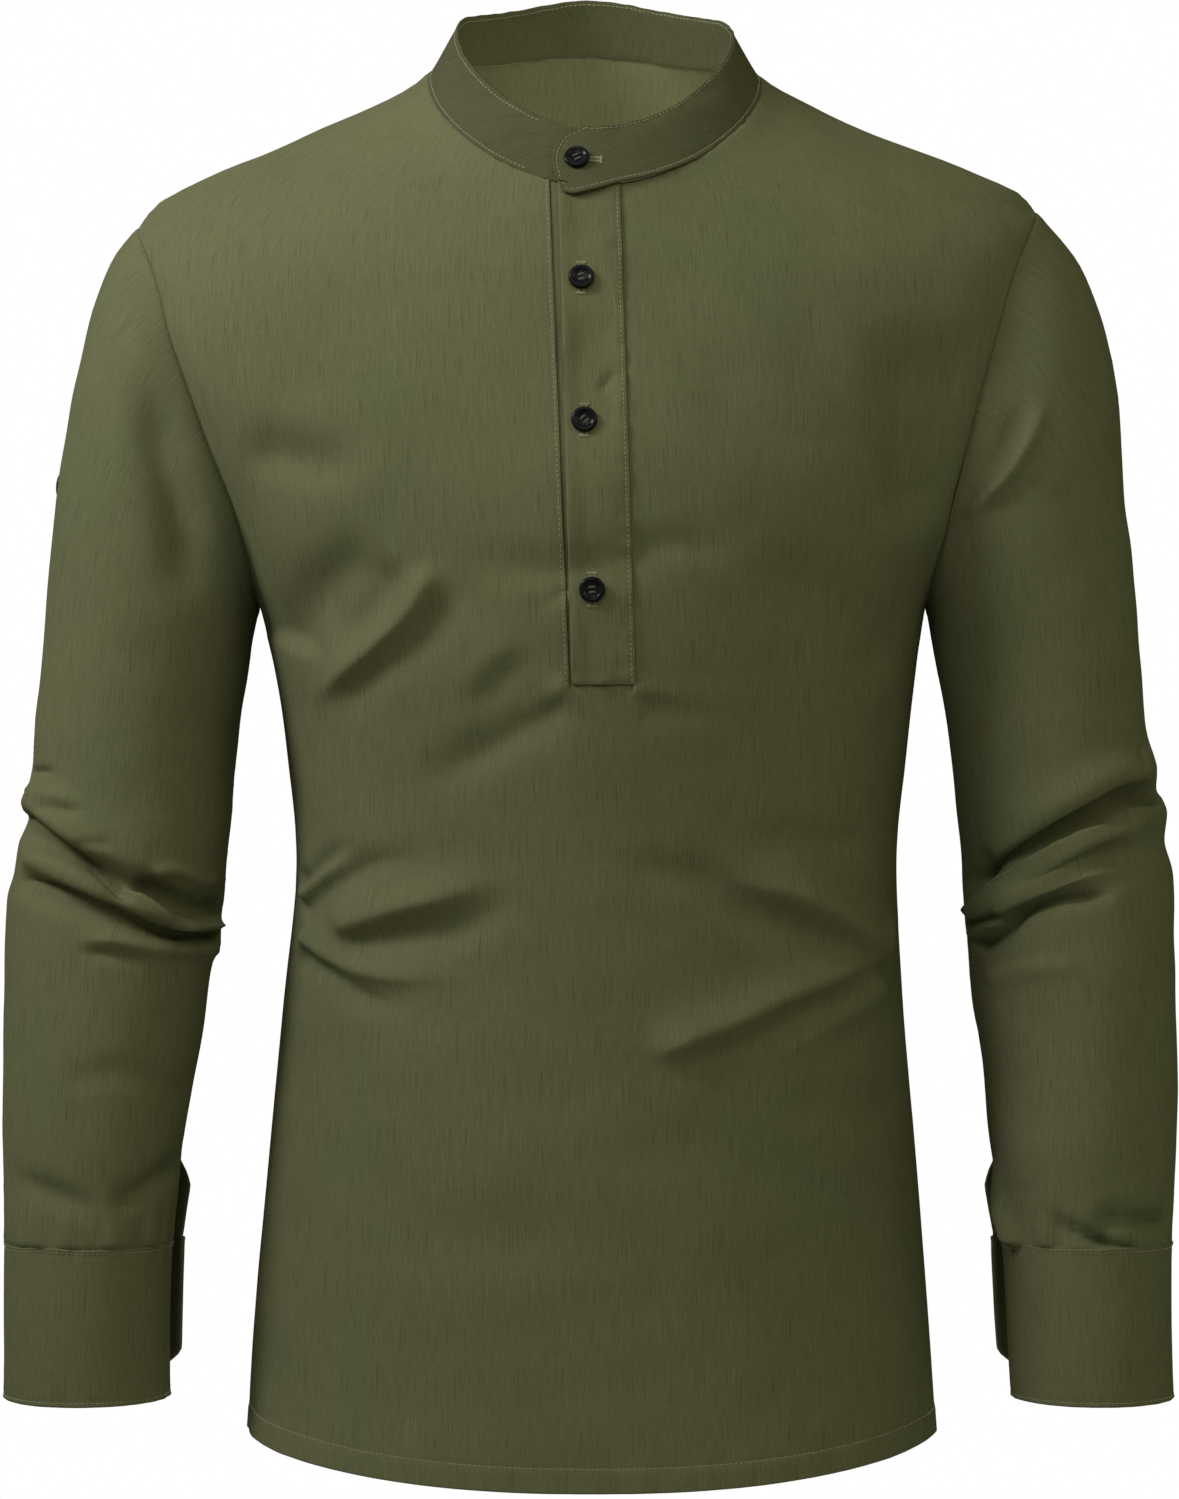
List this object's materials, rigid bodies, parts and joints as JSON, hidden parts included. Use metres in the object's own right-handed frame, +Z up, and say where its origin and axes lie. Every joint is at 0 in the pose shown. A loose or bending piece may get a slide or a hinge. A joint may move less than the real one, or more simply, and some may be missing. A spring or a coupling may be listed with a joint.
{
  "type": "long-sleeved linen shirt with band collar and half placket",
  "caption": "Slim linen pullover shirt, filled out as worn, with a stand collar, buttoned half placket, long sleeves and buttoned cuffs.",
  "frame": {"origin": "where the wearer's shoulders and neck hold the shirt: the middle of the neck opening, level with the inner ends of the shoulders", "axes": "+Z up along the body, the front faces -Y, +X is the wearer's left"},
  "size_m": [0.5934, 0.2462, 0.7575],
  "materials": {
    "linen": "matte plain weave with slubs",
    "button": "polished black"
  },
  "bodies": {
    "root": {"front": "linen", "back": "linen", "sleeve_left": "linen", "sleeve_right": "linen", "cuff_left": "linen", "cuff_right": "linen", "collar_band": "linen", "placket_upper": "linen", "placket_under": "linen", "button_collar": "button", "button_placket_1": "button", "button_placket_2": "button", "button_placket_3": "button", "button_sleeve_left": "button", "button_sleeve_right": "button", "button_cuff_left": "button", "button_cuff_right": "button"}
  },
  "joints": []
}
